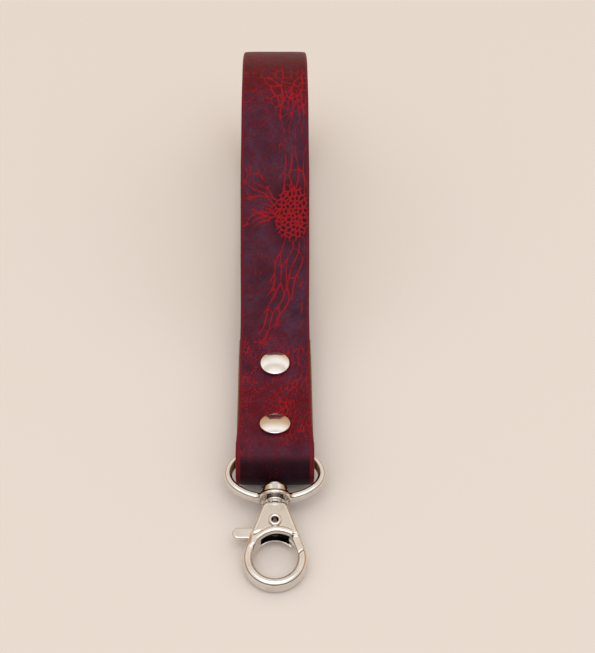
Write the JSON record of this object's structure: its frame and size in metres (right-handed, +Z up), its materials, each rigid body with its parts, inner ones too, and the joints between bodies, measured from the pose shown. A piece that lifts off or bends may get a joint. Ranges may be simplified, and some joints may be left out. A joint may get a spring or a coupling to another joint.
{
  "type": "wristlet keychain",
  "caption": "Leather wrist strap in a standing loop, its folded and riveted end holding a D-shaped swivel eye and a lever-gated lobster clasp.",
  "frame": {"origin": "middle of the base of the whole object as it lies on a table, on the strap's centre plane", "axes": "+Y along the strap, from the clasp towards the far end of the wrist loop; +Z up; +X to the right seen from the clasp end, the side the gate is on"},
  "size_m": [0.0254, 0.183, 0.0508],
  "materials": {
    "burgundy_leather": "waxed pull-up leather, crackled wine red over purple",
    "cap_nickel": "polished nickel plate",
    "cast_nickel": "polished nickel plate over cast zinc",
    "inner_steel": "plain pressed steel",
    "spring_steel": "bright spring wire"
  },
  "bodies": {
    "strap": {"leather_strap": "burgundy_leather", "lower_rivet_front_cap": "cap_nickel", "lower_rivet_socket": "inner_steel", "lower_rivet_post": "inner_steel", "lower_rivet_back_cap": "cap_nickel", "upper_rivet_front_cap": "cap_nickel", "upper_rivet_socket": "inner_steel", "upper_rivet_post": "inner_steel", "upper_rivet_back_cap": "cap_nickel"},
    "eye": {"eye_ring": "cast_nickel"},
    "clasp": {"swivel_stud": "cast_nickel", "clasp_body": "cast_nickel", "lever_spring": "spring_steel", "pivot_rivet": "inner_steel"},
    "lever": {"lever": "cast_nickel"}
  },
  "joints": [
    {"name": "eye_swing", "type": "hinge", "parent": "strap", "child": "eye", "pos_m": [0, -0.05488, 0.00748], "axis": [-1, 0, 0], "range_deg": [-80, 115]},
    {"name": "clasp_swivel", "type": "hinge", "parent": "eye", "child": "clasp", "pos_m": [0, -0.05488, 0.00748], "axis": [0, -0.9891, -0.1472], "continuous": true},
    {"name": "lever_squeeze", "type": "hinge", "parent": "clasp", "child": "lever", "pos_m": [0, -0.07387, 0.00466], "axis": [0, 0.1472, -0.9891], "range_deg": [0, 25], "stiffness_Nm_per_rad": 0.05, "springref_deg": -20.05, "deforming": ["lever_spring"]}
  ]
}
